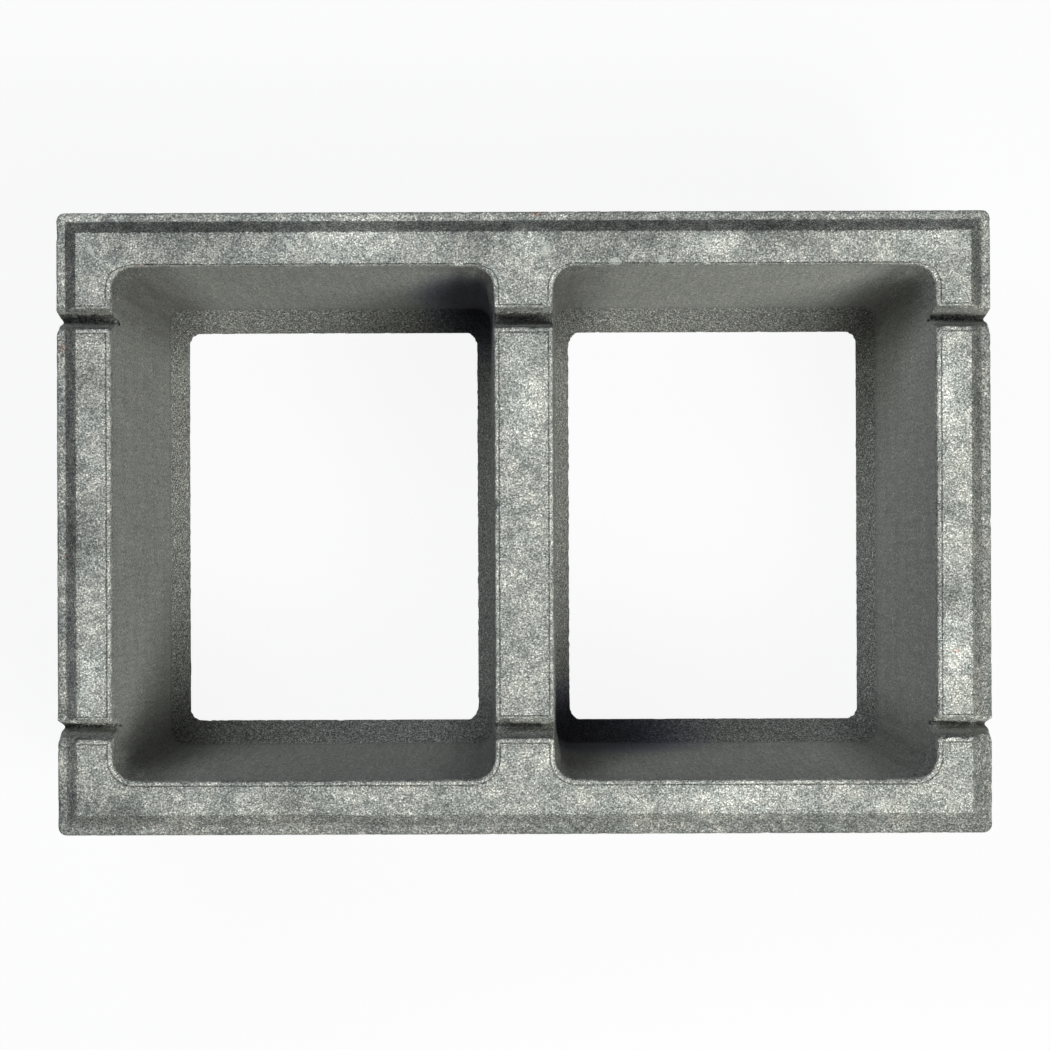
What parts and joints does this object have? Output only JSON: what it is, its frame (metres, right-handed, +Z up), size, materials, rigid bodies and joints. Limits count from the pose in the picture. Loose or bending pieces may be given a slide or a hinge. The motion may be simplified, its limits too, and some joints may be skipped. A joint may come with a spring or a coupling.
{
  "type": "concrete block",
  "caption": "Hollow concrete building block with open cells between thick walls, V break grooves across the end walls and web, and a sloping edge round its top face.",
  "frame": {"origin": "centre of the bed face that the block lies on, at floor level", "axes": "+X along the block's length, +Y across it, +Z up through the cells to the grooved top face"},
  "size_m": [0.45, 0.3, 0.2],
  "materials": {
    "concrete": "dry cast, fine-grained and matt"
  },
  "bodies": {
    "root": {"hollow_block": "concrete"}
  },
  "joints": []
}
